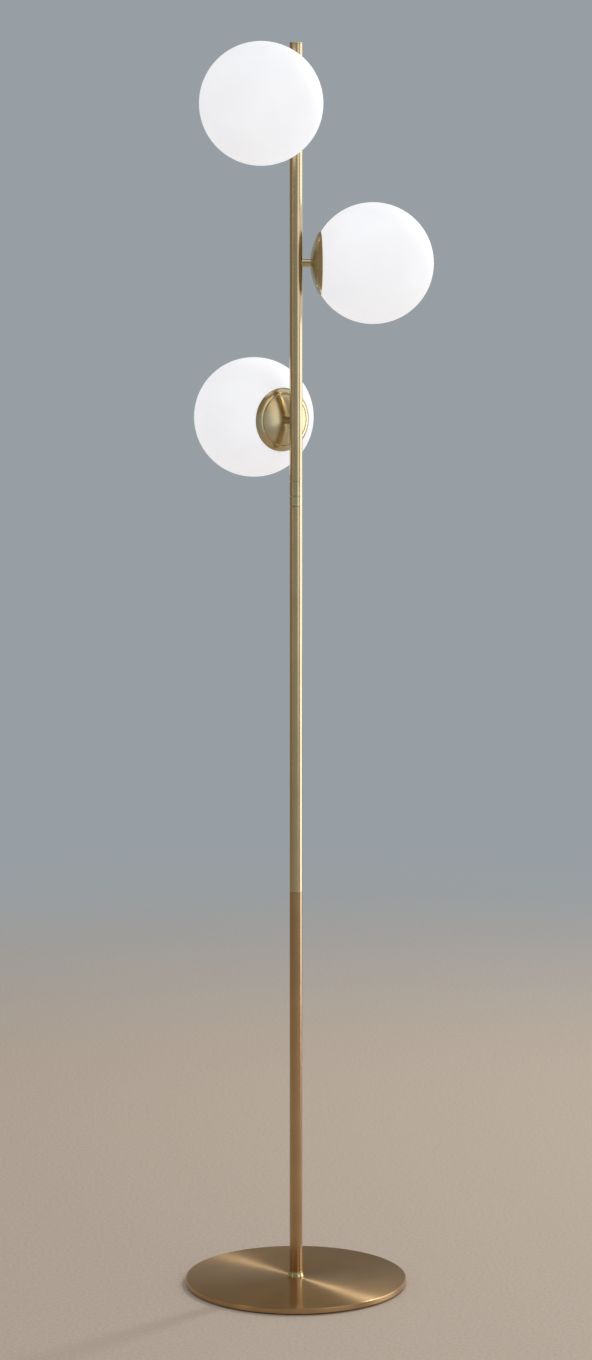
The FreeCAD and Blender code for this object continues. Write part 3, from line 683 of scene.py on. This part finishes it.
# One backdrop for camera, metal and glass: blue-grey, warmer and darker overhead and to the left
worldLook = {"shown": "#989FA4", "shade": "#897E6B", "overheadFrom": 0.14, "overheadTo": 0.26,
             "leftFrom": 0.4, "leftTo": 0.8, "light": "#FFFFFF", "lightStrength": 0.42}
world = bpy.data.worlds.new("studio")
bpy.context.scene.world = world
world.use_nodes = True
tree = world.node_tree
background = tree.nodes["Background"]
background.inputs["Color"].default_value = linear(worldLook["light"])
background.inputs["Strength"].default_value = worldLook["lightStrength"]
direction = addNode(tree, "SeparateXYZ", links={0: addNode(tree, "TexCoord").outputs["Generated"]}).outputs
overhead = addNode(tree, "MapRange", {"interpolation_type": "SMOOTHSTEP",
                                      "From Min": worldLook["overheadFrom"],
                                      "From Max": worldLook["overheadTo"]}, {"Value": direction["Z"]})
toLeft = addNode(tree, "MapRange", {"interpolation_type": "SMOOTHSTEP", "From Min": -worldLook["leftFrom"],
                                    "From Max": -worldLook["leftTo"]}, {"Value": direction["X"]})
shade = addNode(tree, "Math", {"operation": "MAXIMUM"}, {0: overhead.outputs[0], 1: toLeft.outputs[0]})
backdrop = ramp(tree, shade.outputs[0], [(0.0, linear(worldLook["shown"])),
                                         (1.0, linear(worldLook["shade"]))])
seen = addNode(tree, "Background", {"Strength": 1.0}, {"Color": backdrop.outputs["Color"]}).outputs[0]
path = addNode(tree, "LightPath").outputs
shows = addNode(tree, "Math", {"operation": "MAXIMUM"},
                {0: path["Is Camera Ray"], 1: path["Is Glossy Ray"]}).outputs[0]
shows = addNode(tree, "Math", {"operation": "MAXIMUM"},
                {0: shows, 1: path["Is Transmission Ray"]}).outputs[0]
mixed = addNode(tree, "MixShader", links={0: shows, 1: background.outputs[0], 2: seen}).outputs[0]
tree.links.new(mixed, tree.nodes["World Output"].inputs["Surface"])

softboxes = [        # name, place, aim, width, height, radiance, whether it lights dull surfaces
    ("keyHigh", (1.5, 1.4, 2.35), (0, 0, 0.5), 0.26, 0.26, 80.0, True),
    ("panelRight", (1.7, 0.3, 1.0), (0, 0, 1.0), 1.4, 2.4, 0.75, False),
    ("panelRightCore", (1.65, 0.25, 1.0), (0, 0, 1.0), 0.85, 2.4, 1.6, False),
    ("panelFrontRight", (1.75, -1.95, 1.6), (0, 0, 0.85), 1.7, 2.6, 0.85, True),
    ("panelBackRight", (1.5, 2.2, 1.6), (0, 0, 0.9), 1.3, 2.4, 0.6, True),
    ("stripLeft", (-2.3, -1.35, 1.4), (0, 0, 0.85), 0.35, 2.4, 0.8, True),
    ("overhead", (0.3, -0.3, 3.3), (0, 0, 0.6), 1.3, 1.3, 0.7, True),
]
for name, place, aim, width, height, radiance, dull in softboxes:
    lamp = bpy.data.lights.new(name, "AREA")
    lamp.shape = "RECTANGLE"
    lamp.size, lamp.size_y = width, height
    lamp.energy = radiance * math.pi * width * height        # watts that give the panel that brightness
    lampObject = bpy.data.objects.new(name, lamp)
    lampObject.location = place
    lampObject.rotation_euler = (Vector(aim) - Vector(place)).to_track_quat("-Z", "Y").to_euler()
    lampObject.visible_diffuse = dull
    bpy.context.scene.collection.objects.link(lampObject)

bpy.context.scene.view_settings.view_transform = "Standard"
print("studio set")
